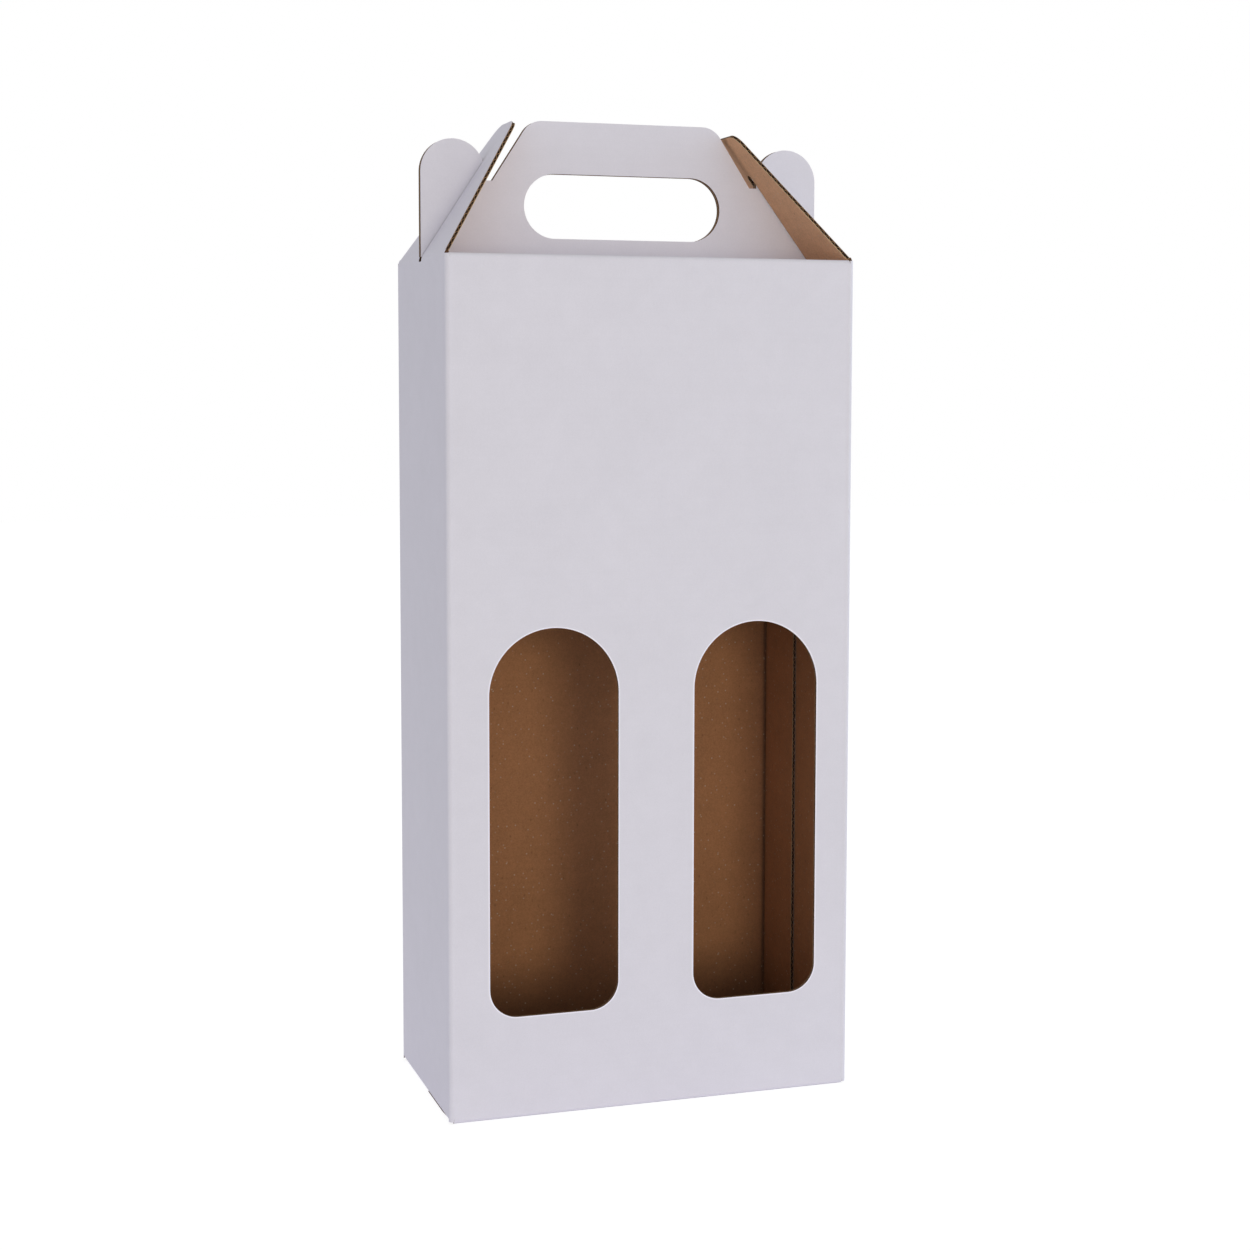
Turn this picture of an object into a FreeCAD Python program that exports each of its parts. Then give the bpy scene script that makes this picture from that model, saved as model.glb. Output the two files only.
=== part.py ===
import FreeCAD, Part
import math
import os
import Sketcher
from FreeCAD import Placement, Rotation, Vector

# Two-bottle carrier folded from one sheet of corrugated board, with its two swinging side flaps.
# Origin at the centre of the base, front wall towards -Y, +Z up, millimetres and degrees.

SIZES = {
    # the board and its folds
    "board": 1.6,
    "fold_radius": 2.0,
    "inner_bend": 0.4,
    # the box, outside the board
    "box_width": 184,
    "box_depth": 95,
    "wall_height": 370,
    # bottle windows in the front wall
    "window_width": 57.6,
    "window_pitch": 92.2,
    "window_shift": 0.9,
    "window_sill": 44.5,
    "window_top": 212.2,
    "window_corner": 12.5,
    # two-layer handle, heights above the roof
    "layer_gap": 0.3,
    "crown_height": 60.5,
    "crown_slope": 57,
    "crown_corner": 10,
    "ear_width": 28.6,
    "ear_height": 51.6,
    "slot_floor": 34,
    "slot_width": 3.4,
    # hand hole through both layers
    "hole_length": 91.4,
    "hole_height": 28.3,
    "hole_base": 9.4,
    # side flaps, in their own plane from the fold
    "flap_length": 71,
    "flap_inset": 2.6,
    "flap_taper": 24.5,
    "flap_corner": 9,
    "left_lean": 56.6,
    "right_lean": 53,
    "fold_clearance": 0.2,
    # slit that passes over the ear
    "slit_side_clearance": 0.55,
    "slit_end_clearance": 0.5,
    "slit_notch": 1,
    # glue tab inside the right wall
    "tab_width": 34.6,
    "tab_end_slope": 15,
    "tab_end_gap": 4,
    "seam_setback": 0.5,
    "glue_line": 0.1,
    # snap-lock bottom
    "side_lift": 0.8,
    "ramp_length": 7,
    "lock_clearance": 1.5,
    "tongue_width": 92,
    "tongue_reach": 24,
    "shoulder_inset": 1,
    "shoulder_relief": 18,
    "back_flap_reach": 70,
    "side_flap_reach": 44,
    "side_flap_cut": 20,
    "bottom_corner": 8,
}

doc = FreeCAD.newDocument("bottle_shipping_box")


def make_sheet():
    # the spreadsheet that holds every driving dimension
    sheet = doc.addObject("Spreadsheet::Sheet", "sizes")
    for row, (name, size) in enumerate(SIZES.items(), start=1):
        sheet.set(f"A{row}", name)
        sheet.set(f"B{row}", str(size))
        sheet.setAlias(f"B{row}", name)
    doc.recompute()
    return sheet


sizes = make_sheet()

# lengths and places that more than one panel uses, worked out from the sheet
BOARD = "sizes.board"
FOLD = "sizes.fold_radius"
TOP = "sizes.wall_height"
SIDE = "(sizes.box_width / 2)"
FRONT = "(sizes.box_depth / 2)"
SIDE_TURN = f"({SIDE} - {FOLD})"
FRONT_TURN = f"({FRONT} - {FOLD})"
WALL_TOP = f"({TOP} - {FOLD})"
WALL_FOOT = f"({FOLD} + sizes.side_lift)"
TAB_SIDE = f"({SIDE} - 2 * {BOARD} - sizes.glue_line)"
LAYER_BACK = "(sizes.layer_gap / 2)"
LAYER_FRONT = f"({LAYER_BACK} + {BOARD})"
HANDLE_FOOT = f"({TOP} + sizes.inner_bend)"
EAR_RADIUS = "(sizes.ear_width / 2)"
EAR_RISE = f"(sizes.ear_height - {EAR_RADIUS})"
EAR_REACH = f"(sqrt({EAR_RADIUS}^2 + {EAR_RISE}^2) + {EAR_RADIUS})"
SLIT_HALF = f"({LAYER_FRONT} + sizes.slit_side_clearance)"
SLIT_END = f"({EAR_REACH} + sizes.slit_end_clearance)"
# the bottom's layers lie one board and one gap above another
LEVEL = f"({BOARD} + sizes.layer_gap)"
SIDE_LEVEL = LEVEL
BACK_LEVEL = f"(2 * {LEVEL})"
TONGUE_LEVEL = f"(3 * {LEVEL})"
TONGUE_SIDE = "(sizes.tongue_width / 2)"
TONGUE_FLAT = "(sizes.ramp_length - sizes.lock_clearance)"


def number(expression):
    # the value of an expression of the sheet's sizes
    return float(sizes.evalExpression(expression.replace("sizes.", "")))


def origin_plane(body, role):
    return next(feature for feature in body.Origin.OriginFeatures if feature.Role == role)


def make_body(label):
    body = doc.addObject("PartDesign::Body", label)
    body.Label = label
    return body


def make_sketch(body, name, role, offset=None):
    # a sketch on one of the body's own planes, moved along the plane's normal by offset
    sketch = body.newObject("Sketcher::SketchObject", name)
    sketch.AttachmentSupport = [(origin_plane(body, role), "")]
    sketch.MapMode = "FlatFace"
    if offset is not None:
        sketch.setExpression("AttachmentOffset.Base.z", offset)
    return sketch


def line(across, up):
    return (across, up, "line")


def arc(across, up):
    return (across, up, "arc")


def tangent_arc(start, direction, end):
    # the arc that leaves start along direction and arrives at end, and the way it arrives there
    chord = end - start
    normal = Vector(-direction.y, direction.x, 0)
    radius = chord.dot(chord) / (2 * chord.dot(normal))
    centre = start + normal * radius
    first = math.atan2(start.y - centre.y, start.x - centre.x)
    last = math.atan2(end.y - centre.y, end.x - centre.x)
    circle = Part.Circle(centre, Vector(0, 0, 1), abs(radius))
    onward = Vector(-math.sin(last), math.cos(last), 0)
    if radius > 0:
        return Part.ArcOfCircle(circle, first, last), 1, 2, onward
    return Part.ArcOfCircle(circle, last, first), 2, 1, onward * -1


def bind_point(sketch, element, place, stop):
    # both coordinates of a point follow the sheet
    for kind, expression in (("DistanceX", stop[0]), ("DistanceY", stop[1])):
        constraint = Sketcher.Constraint(kind, -1, 1, element, place, number(expression))
        index = sketch.addConstraint(constraint)
        sketch.setExpression(f"Constraints[{index}]", expression)


def draw_outline(sketch, stops):
    # A closed outline. Each stop ends a line, or an arc that is tangent to the element before it.
    # The first element is a line from the last stop.
    points = [Vector(number(stop[0]), number(stop[1]), 0) for stop in stops]
    opening = None
    previous = None
    direction = None
    for index, stop in enumerate(stops):
        start, end = points[index - 1], points[index]
        if stop[2] == "arc":
            piece, head, tail, direction = tangent_arc(start, direction, end)
        else:
            piece, head, tail, direction = Part.LineSegment(start, end), 1, 2, (end - start).normalize()
        element = sketch.addGeometry(piece)
        if previous is not None:
            join = "Tangent" if stop[2] == "arc" else "Coincident"
            sketch.addConstraint(Sketcher.Constraint(join, *previous, element, head))
        bind_point(sketch, element, tail, stop)
        opening = opening or (element, head)
        previous = (element, tail)
    sketch.addConstraint(Sketcher.Constraint("Coincident", *previous, *opening))


def both_halves(stops):
    # an outline that starts on the right half, continued as its mirror image on the left half
    kinds = ["line"] + [stop[2] for stop in reversed(stops[1:])]
    places = [(f"-({stop[0]})", stop[1]) for stop in reversed(stops)]
    return stops + [(*place, kind) for place, kind in zip(places, kinds)]


def pad(body, sketch, length, both_sides=False, backwards=False):
    # the material inside a sketch's outline
    feature = body.newObject("PartDesign::Pad", f"{sketch.Name}_pad")
    feature.Profile = sketch
    feature.setExpression("Length", length)
    feature.Midplane = both_sides
    feature.Reversed = backwards
    body.Tip = feature
    doc.recompute()
    return feature


def pocket(body, sketch, length, both_sides=False, backwards=False):
    # takes the material inside a sketch's outline away, which has to be some
    before = body.Tip.Shape.Volume
    feature = body.newObject("PartDesign::Pocket", f"{sketch.Name}_cut")
    feature.Profile = sketch
    feature.setExpression("Length", length)
    feature.Midplane = both_sides
    feature.Reversed = backwards
    body.Tip = feature
    doc.recompute()
    if feature.Shape.Volume > before - 0.01:
        raise RuntimeError(f"{feature.Name} removes nothing")
    return feature


def mirror(body, name, features, role):
    # the same features again on the other side of an origin plane
    feature = body.newObject("PartDesign::Mirrored", name)
    feature.Originals = features
    feature.MirrorPlane = (origin_plane(body, role), [""])
    body.Tip = feature
    doc.recompute()
    return feature


def add_walls(body):
    # four walls in plan, with folded corners and the open seam at the back right
    sketch = make_sketch(body, "walls", "XY_Plane", WALL_FOOT)
    seam_side = f"({SIDE} - {BOARD})"
    seam_end = f"({FRONT} - sizes.seam_setback)"
    tab_outer = f"({seam_side} - sizes.glue_line)"
    draw_outline(sketch, [
        line(f"{tab_outer} - {FOLD}", FRONT),
        arc(tab_outer, FRONT_TURN),
        line(seam_side, FRONT_TURN),
        line(seam_side, seam_end),
        line(SIDE, seam_end),
        line(SIDE, f"-{FRONT_TURN}"),
        arc(SIDE_TURN, f"-{FRONT}"),
        line(f"-{SIDE_TURN}", f"-{FRONT}"),
        arc(f"-{SIDE}", f"-{FRONT_TURN}"),
        line(f"-{SIDE}", FRONT_TURN),
        arc(f"-{SIDE_TURN}", FRONT),
    ])
    inner_front = f"({FRONT} - {BOARD})"
    tab_start = f"({FRONT_TURN} - {BOARD})"
    draw_outline(sketch, [
        line(seam_side, f"-{inner_front}"),
        line(seam_side, tab_start),
        line(TAB_SIDE, tab_start),
        line(TAB_SIDE, inner_front),
        line(f"-{seam_side}", inner_front),
        line(f"-{seam_side}", f"-{inner_front}"),
    ])
    pad(body, sketch, f"{WALL_TOP} - {WALL_FOOT}")


def add_side_wall_tops(body):
    # the side walls run up to the fold of their flap, notched where the handle's ear comes down
    sketch = make_sketch(body, "side_wall_top", "YZ_Plane", f"{SIDE} - {BOARD}")
    notch_floor = f"{TOP} - sizes.slit_notch"
    draw_outline(sketch, both_halves([
        line(FRONT_TURN, f"{WALL_TOP} - {BOARD}"),
        line(FRONT_TURN, TOP),
        line(SLIT_HALF, TOP),
        line(SLIT_HALF, notch_floor),
    ]))
    top = pad(body, sketch, BOARD)
    mirror(body, "side_wall_tops", [top], "YZ_Plane")


def add_glue_tab(body):
    # folded from the back wall and glued inside the right wall, with sloped ends
    sketch = make_sketch(body, "glue_tab", "YZ_Plane", TAB_SIDE)
    root = FRONT_TURN
    edge = f"({FRONT} - {BOARD} - sizes.tab_width)"
    drop = "(sizes.tab_width * tan(sizes.tab_end_slope))"
    foot = f"({WALL_FOOT} + sizes.tab_end_gap)"
    head = f"({WALL_TOP} - sizes.tab_end_gap)"
    draw_outline(sketch, [
        line(root, foot),
        line(root, head),
        line(edge, f"{head} - {drop}"),
        line(edge, f"{foot} + {drop}"),
    ])
    pad(body, sketch, f"1.25 * {BOARD}")


def add_roof_and_handle(body):
    # front half: fold over the front wall, roof panel, fold upwards, handle layer; the back mirrors it
    strip = make_sketch(body, "roof_strip", "YZ_Plane")
    inner_front = f"({FRONT} - {BOARD})"
    rise = f"({LAYER_FRONT} + sizes.inner_bend)"
    lap = f"({WALL_TOP} - {BOARD})"
    draw_outline(strip, [
        line(f"-{FRONT}", lap),
        line(f"-{FRONT}", WALL_TOP),
        arc(f"-{FRONT_TURN}", TOP),
        line(f"-{rise}", TOP),
        arc(f"-{LAYER_FRONT}", HANDLE_FOOT),
        line(f"-{LAYER_FRONT}", f"{HANDLE_FOOT} + {BOARD}"),
        line(f"-{LAYER_BACK}", f"{HANDLE_FOOT} + {BOARD}"),
        line(f"-{LAYER_BACK}", HANDLE_FOOT),
        arc(f"-{rise}", f"{TOP} - {BOARD}"),
        line(f"-{FRONT_TURN}", f"{TOP} - {BOARD}"),
        arc(f"-{inner_front}", WALL_TOP),
        line(f"-{inner_front}", lap),
    ])
    strip_pad = pad(body, strip, f"2 * {SIDE_TURN}", both_sides=True)
    layer = make_sketch(body, "handle_layer", "XZ_Plane", LAYER_BACK)
    draw_outline(layer, handle_outline())
    layer_pad = pad(body, layer, BOARD)
    mirror(body, "back_roof_and_layer", [strip_pad, layer_pad], "XZ_Plane")


def handle_outline():
    # from the foot of the right ear up over the ear, down into the slot and up the sloped crown
    ear_turn = f"({TOP} + {EAR_RISE})"
    ear_inner = f"({SIDE} - sizes.ear_width)"
    slot_floor = f"({TOP} + sizes.slot_floor)"
    slot_inner = f"({ear_inner} - sizes.slot_width)"
    crown_top = f"({TOP} + sizes.crown_height)"
    crown_run = "((sizes.crown_height - sizes.slot_floor) / tan(sizes.crown_slope))"
    crown_end = f"({slot_inner} - {crown_run})"
    setback = "(sizes.crown_corner * tan(sizes.crown_slope / 2))"
    return both_halves([
        line(SIDE, HANDLE_FOOT),
        line(SIDE, ear_turn),
        arc(f"{SIDE} - {EAR_RADIUS}", f"{TOP} + sizes.ear_height"),
        arc(ear_inner, ear_turn),
        line(ear_inner, slot_floor),
        line(slot_inner, slot_floor),
        line(
            f"{crown_end} + {setback} * cos(sizes.crown_slope)",
            f"{crown_top} - {setback} * sin(sizes.crown_slope)",
        ),
        arc(f"{crown_end} - {setback}", crown_top),
    ])


def cut_hand_hole(body):
    # round-ended hole through both layers of the handle
    sketch = make_sketch(body, "hand_hole", "XZ_Plane")
    half_run = "((sizes.hole_length - sizes.hole_height) / 2)"
    low = f"({TOP} + sizes.hole_base)"
    high = f"({low} + sizes.hole_height)"
    draw_outline(sketch, [
        line(half_run, low),
        arc(half_run, high),
        line(f"-{half_run}", high),
        arc(f"-{half_run}", low),
    ])
    pocket(body, sketch, f"4 * {LAYER_FRONT}", both_sides=True)


def cut_window(body, name, centre):
    # arch-topped opening in the front wall only
    sketch = make_sketch(body, name, "XZ_Plane", f"{FRONT} + {BOARD}")
    half = "(sizes.window_width / 2)"
    sill = "sizes.window_sill"
    corner = "sizes.window_corner"
    shoulder = f"(sizes.window_top - {half})"
    draw_outline(sketch, [
        line(f"{centre} + {half} - {corner}", sill),
        arc(f"{centre} + {half}", f"{sill} + {corner}"),
        line(f"{centre} + {half}", shoulder),
        arc(f"{centre} - {half}", shoulder),
        line(f"{centre} - {half}", f"{sill} + {corner}"),
        arc(f"{centre} - {half} + {corner}", sill),
    ])
    pocket(body, sketch, f"3 * {BOARD}")


def make_shell():
    # walls, glue tab, roof and handle, with their openings
    body = make_body("shell")
    add_walls(body)
    add_side_wall_tops(body)
    add_glue_tab(body)
    add_roof_and_handle(body)
    cut_hand_hole(body)
    cut_window(body, "left_window", "sizes.window_shift - sizes.window_pitch / 2")
    cut_window(body, "right_window", "sizes.window_shift + sizes.window_pitch / 2")
    return body


def trim_to(body, name, outline):
    # cuts away what a flap's section sweeps outside the flap's outline in plan
    sketch = make_sketch(body, name, "XY_Plane")
    draw_outline(sketch, both_halves([
        line("sizes.box_width", "-sizes.box_depth"),
        line("sizes.box_width", "sizes.box_depth"),
    ]))
    draw_outline(sketch, outline)
    pocket(body, sketch, f"5 * {LEVEL}", backwards=True)


def make_front_bottom_flap():
    # outermost flap: shoulders to mid-depth, and the tongue that ramps up and tucks over the back flap
    body = make_body("front_bottom_flap")
    section = make_sketch(body, "front_flap_section", "YZ_Plane")
    inner_front = f"({FRONT} - {BOARD})"
    lap = f"({WALL_FOOT} + {BOARD})"
    shoulder = "sizes.lock_clearance"
    reach = "sizes.tongue_reach"
    draw_outline(section, [
        line(f"-{FRONT}", lap),
        line(f"-{FRONT}", FOLD),
        arc(f"-{FRONT_TURN}", "0"),
        line(f"-{shoulder}", "0"),
        line(TONGUE_FLAT, TONGUE_LEVEL),
        line(reach, TONGUE_LEVEL),
        line(reach, f"{TONGUE_LEVEL} + {BOARD}"),
        line(TONGUE_FLAT, f"{TONGUE_LEVEL} + {BOARD}"),
        line(f"-{shoulder}", BOARD),
        line(f"-{FRONT_TURN}", BOARD),
        arc(f"-{inner_front}", FOLD),
        line(f"-{inner_front}", lap),
    ])
    side = f"({SIDE} - sizes.shoulder_inset)"
    pad(body, section, f"2 * {side}", both_sides=True)
    corner = "sizes.bottom_corner"
    trim_to(body, "front_flap_trim", both_halves([
        line(SIDE_TURN, f"-({FRONT} + {BOARD})"),
        line(SIDE_TURN, f"-{FRONT_TURN}"),
        line(side, f"-({FRONT} - sizes.shoulder_relief)"),
        line(side, f"-{shoulder}"),
        line(TONGUE_SIDE, f"-{shoulder}"),
        line(TONGUE_SIDE, f"{reach} - {corner}"),
        arc(f"{TONGUE_SIDE} - {corner}", reach),
    ]))
    return body


def make_back_bottom_flap():
    # innermost flap: two legs beside a notch that takes the tongue
    body = make_body("back_bottom_flap")
    section = make_sketch(body, "back_flap_section", "YZ_Plane")
    inner_back = f"({FRONT} - {BOARD})"
    lap = f"({WALL_FOOT} + {BOARD})"
    flat = f"({FRONT_TURN} - sizes.ramp_length)"
    reach = f"({FRONT} - sizes.back_flap_reach)"
    draw_outline(section, [
        line(FRONT, lap),
        line(FRONT, FOLD),
        arc(FRONT_TURN, "0"),
        line(flat, BACK_LEVEL),
        line(reach, BACK_LEVEL),
        line(reach, f"{BACK_LEVEL} + {BOARD}"),
        line(flat, f"{BACK_LEVEL} + {BOARD}"),
        line(FRONT_TURN, BOARD),
        line(inner_back, FOLD),
        line(inner_back, lap),
    ])
    pad(body, section, f"2 * {SIDE_TURN}", both_sides=True)
    side = f"({SIDE_TURN} - sizes.shoulder_inset)"
    notch_side = f"({TONGUE_SIDE} + sizes.lock_clearance)"
    notch_end = f"({TONGUE_FLAT} + sizes.lock_clearance)"
    corner = "sizes.bottom_corner"
    trim_to(body, "back_flap_trim", both_halves([
        line(notch_side, notch_end),
        line(notch_side, reach),
        line(f"{side} - {corner}", reach),
        arc(side, f"{reach} + {corner}"),
        line(side, FRONT_TURN),
        line(SIDE_TURN, FRONT_TURN),
        line(SIDE_TURN, f"{FRONT} + {BOARD}"),
    ]))
    return body


def make_side_bottom_flaps():
    # short flaps between the front flap and the back flap, with a cut rear corner
    body = make_body("right_bottom_flap")
    section = make_sketch(body, "side_flap_section", "XZ_Plane")
    inner_side = f"({SIDE} - {BOARD})"
    lap = f"({WALL_FOOT} + {BOARD})"
    flat = f"({SIDE_TURN} - sizes.ramp_length)"
    reach = f"({SIDE} - sizes.side_flap_reach)"
    draw_outline(section, [
        line(SIDE, lap),
        line(SIDE, WALL_FOOT),
        arc(SIDE_TURN, "sizes.side_lift"),
        line(flat, SIDE_LEVEL),
        line(reach, SIDE_LEVEL),
        line(reach, f"{SIDE_LEVEL} + {BOARD}"),
        line(flat, f"{SIDE_LEVEL} + {BOARD}"),
        line(SIDE_TURN, f"sizes.side_lift + {BOARD}"),
        line(inner_side, WALL_FOOT),
        line(inner_side, lap),
    ])
    fold_end = f"({FRONT_TURN} - {BOARD})"
    pad(body, section, f"2 * {fold_end}", both_sides=True)
    rear = f"({FRONT_TURN} - sizes.ramp_length - sizes.lock_clearance)"
    corner = "sizes.bottom_corner"
    cut = "sizes.side_flap_cut"
    trim_to(body, "side_flap_trim", [
        line(f"{SIDE} + {BOARD}", f"-{FRONT}"),
        line(f"{SIDE} + {BOARD}", FRONT),
        line(SIDE_TURN, FRONT),
        line(SIDE_TURN, fold_end),
        line(flat, rear),
        line(f"{reach} + {cut}", rear),
        line(reach, f"{rear} - {cut}"),
        line(reach, f"-({fold_end} - {corner})"),
        arc(f"{reach} + {corner}", f"-{fold_end}"),
        line(SIDE_TURN, f"-{fold_end}"),
        line(SIDE_TURN, f"-{FRONT}"),
    ])
    left = doc.addObject("Part::Mirroring", "left_bottom_flap")
    left.Source = body
    left.Normal = Vector(1, 0, 0)
    doc.recompute()
    return [body, left]


def make_carton():
    # the whole folded sheet as one solid
    carton = doc.addObject("Part::MultiFuse", "carton")
    carton.Label = "carton"
    carton.Shapes = [make_shell(), make_front_bottom_flap(), make_back_bottom_flap(), *make_side_bottom_flaps()]
    carton.Refine = True
    doc.recompute()
    return carton


def make_side_flap(label, away, lean, turn_axis):
    # A tapered flap with its slit, drawn flat from its fold and then leaned about the wall's top edge.
    # away is the sign of the sketch's X from the fold to the flap's free edge.
    body = make_body(label)
    outline = make_sketch(body, f"{label}_outline", "XY_Plane")
    taper = "sizes.flap_taper"
    base = f"({FRONT} - sizes.flap_inset)"
    end = f"({base} - sizes.flap_length * tan({taper}))"
    setback = f"(sizes.flap_corner * tan((90 - {taper}) / 2))"
    stops = [
        line("0", SLIT_HALF),
        line(f"{away}{SLIT_END}", SLIT_HALF),
        line(f"{away}{SLIT_END}", f"-{SLIT_HALF}"),
        line("0", f"-{SLIT_HALF}"),
        line("0", f"-{base}"),
        line(
            f"{away}(sizes.flap_length - {setback} * cos({taper}))",
            f"-({end} + {setback} * sin({taper}))",
        ),
        arc(f"{away}sizes.flap_length", f"-({end} - {setback})"),
        line(f"{away}sizes.flap_length", f"{end} - {setback}"),
        arc(
            f"{away}(sizes.flap_length - {setback} * cos({taper}))",
            f"{end} + {setback} * sin({taper})",
        ),
        line("0", base),
    ]
    draw_outline(outline, stops)
    pad(body, outline, BOARD, backwards=True)
    cut_root(body, label, away, lean)
    body.Placement = Placement(Vector(0, 0, 0), Rotation(turn_axis, 45))
    body.setExpression("Placement.Base.x", f"-{away}{SIDE}")
    body.setExpression("Placement.Base.z", TOP)
    body.setExpression("Placement.Rotation.Angle", lean)
    doc.recompute()
    return body


def cut_root(body, label, away, lean):
    # slopes the flap's root so that it lies level just above the wall's top edge
    root = make_sketch(body, f"{label}_root", "XZ_Plane")
    above = f"((sizes.fold_clearance - {BOARD} * cos({lean})) / sin({lean}))"
    below = f"((sizes.fold_clearance + 2 * {BOARD} * cos({lean})) / sin({lean}))"
    draw_outline(root, [
        line(f"{away}{above}", BOARD),
        line(f"{away}{below}", f"-2 * {BOARD}"),
        line(f"-{away}(3 * {BOARD})", f"-2 * {BOARD}"),
        line(f"-{away}(3 * {BOARD})", BOARD),
    ])
    pocket(body, root, "sizes.box_depth", both_sides=True)


def check_objects():
    # every object has to be sound before anything is written
    for item in doc.Objects:
        if "Invalid" in item.State or "Error" in item.State:
            raise RuntimeError(f"{item.Name} failed")


def check_part(part):
    shape = part.Shape
    if shape.isNull() or not shape.isValid() or len(shape.Solids) != 1:
        raise RuntimeError(f"{part.Label} is not one sound solid")


parts = [
    make_carton(),
    make_side_flap("left_side_flap", "", "sizes.left_lean", Vector(0, -1, 0)),
    make_side_flap("right_side_flap", "-", "sizes.right_lean", Vector(0, 1, 0)),
]
doc.recompute()
check_objects()
for part in parts:
    check_part(part)
os.makedirs("parts", exist_ok=True)
for part in parts:
    part.Shape.exportStep(f"parts/{part.Label}.step")
    box = part.Shape.BoundBox
    print(part.Label, "volume", round(part.Shape.Volume), "faces", len(part.Shape.Faces), "box", box)
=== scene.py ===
import math
import bpy
import numpy as np
from mathutils import Euler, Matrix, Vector
from mathutils.geometry import delaunay_2d_cdt


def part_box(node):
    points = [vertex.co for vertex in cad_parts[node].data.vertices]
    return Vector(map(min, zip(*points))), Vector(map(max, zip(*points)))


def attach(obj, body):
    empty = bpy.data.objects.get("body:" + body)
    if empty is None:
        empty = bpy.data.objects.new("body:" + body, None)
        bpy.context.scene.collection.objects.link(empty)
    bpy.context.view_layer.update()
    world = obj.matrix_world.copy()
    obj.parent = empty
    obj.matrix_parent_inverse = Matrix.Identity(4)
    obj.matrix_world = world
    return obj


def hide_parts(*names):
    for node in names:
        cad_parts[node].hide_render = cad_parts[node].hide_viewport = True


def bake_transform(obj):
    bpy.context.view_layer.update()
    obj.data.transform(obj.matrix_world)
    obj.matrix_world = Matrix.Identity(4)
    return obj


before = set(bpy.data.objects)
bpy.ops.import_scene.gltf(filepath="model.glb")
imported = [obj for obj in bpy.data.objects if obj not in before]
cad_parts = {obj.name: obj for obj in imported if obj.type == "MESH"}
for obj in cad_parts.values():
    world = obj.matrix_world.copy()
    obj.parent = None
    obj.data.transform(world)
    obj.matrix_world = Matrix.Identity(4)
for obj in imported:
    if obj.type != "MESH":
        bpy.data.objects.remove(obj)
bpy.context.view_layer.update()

# A two-bottle carrier of white-lined corrugated board. Each sheet is cut as a flat blank and then folded:
# u runs along the flutes, v across them, w out of the printed side. Lengths in this file are millimetres.

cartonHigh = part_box("carton")[1] * 1000

board = {
    "thickness": 1.6,
    "liner": 0.24,
    "fold": 2.0,           # outside radius of a fold
    "innerBend": 0.4,
    "bendSteps": 6,
    "guard": 0.35,         # flat strip beside each bend
    "guardShare": 0.6,     # and no longer than this share of the bend's radius
    "creaseDent": 0.14,
    "creaseReach": 2.6,
    "creaseWidth": 0.4,
    "creaseLines": (-1.6, -1.1, -0.75, 0.75, 1.1, 1.6),
    "spurTop": 1.7,        # how far each upright corner runs on past its folds
    "spurFoot": -1.9,
    "spurInset": 0.12,
    "creaseShade": 3.2,    # the painted shade along an upright fold's inside ends this far from its middle
    "footShade": 42,       # painted shade darkens the inside from here down
}
box = {
    "halfWidth": cartonHigh.x,
    "halfDepth": cartonHigh.y,
    "wallHeight": 370,
    "footLift": 0.8,
    "seamSetback": 0.5,
    "glueLine": 0.1,
    "bandReach": 1.6,      # the flap folds' soft strips start this far from the fold
    "bandSteps": 8,
    "bandPress": 0.12,
}
# how far the folded sections run past the last fold, and how far off a fold they start
runs = {"wall": 40, "handle": 9, "foot": 2, "start": 0.4}
# margins that decide which panel a point of the blank belongs to, and when two points are one
slack = {"panel": 0.3, "side": 0.5, "level": 0.01, "bend": 0.03, "spur": 3, "merge": 0.0001}
arcSteps = {
    "ear": 40,
    "crown": 14,
    "window": 14,
    "arch": 64,
    "hole": 40,
    "slit": 12,
    "flap": 14,
    "bottom": 8,
}
handle = {
    "layerGap": 0.3,
    "crownHeight": cartonHigh.z - box["wallHeight"],
    "crownSlope": 57,
    "crownCorner": 10,
    "earWidth": 28.6,
    "earHeight": 51.6,
    "slotFloor": 34,
    "slotWidth": 3.4,
    "holeLength": 91.4,
    "holeHeight": 28.3,
    "holeBase": 9.4,
}

level = board["thickness"] + handle["layerGap"]
underLevels = {"side": level, "back": 2 * level, "front": 3 * level}
foldEnd = {"side": box["halfWidth"] - board["fold"], "front": box["halfDepth"] - board["fold"]}
wallTop = box["wallHeight"] - board["fold"]
wallFoot = board["fold"] + box["footLift"]
layerFront = handle["layerGap"] / 2 + board["thickness"]


def arcPoints(centre, radius, start, end, steps):
    angles = np.radians(np.linspace(start, end, steps + 1))
    return [(centre[0] + radius * math.cos(a), centre[1] + radius * math.sin(a)) for a in angles]


def turned(way, angle):
    return np.array([way[0] * math.cos(angle) - way[1] * math.sin(angle),
                     way[0] * math.sin(angle) + way[1] * math.cos(angle)])


def bend(centre, radius, start, end):
    # a fold in a section, with a short flat guard at each end so that shading stays on the fold
    points = arcPoints(centre, radius, start, end, board["bendSteps"])
    first = np.array(points[0]) - np.array(points[1])
    last = np.array(points[-1]) - np.array(points[-2])
    turn = math.radians(end - start) / board["bendSteps"] / 2
    guard = min(board["guard"], radius * board["guardShare"]) / np.linalg.norm(first)
    before = turned(first, -turn) * guard + points[0]
    after = turned(last, turn) * guard + points[-1]
    return [tuple(before), *points, tuple(after)]


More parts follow.
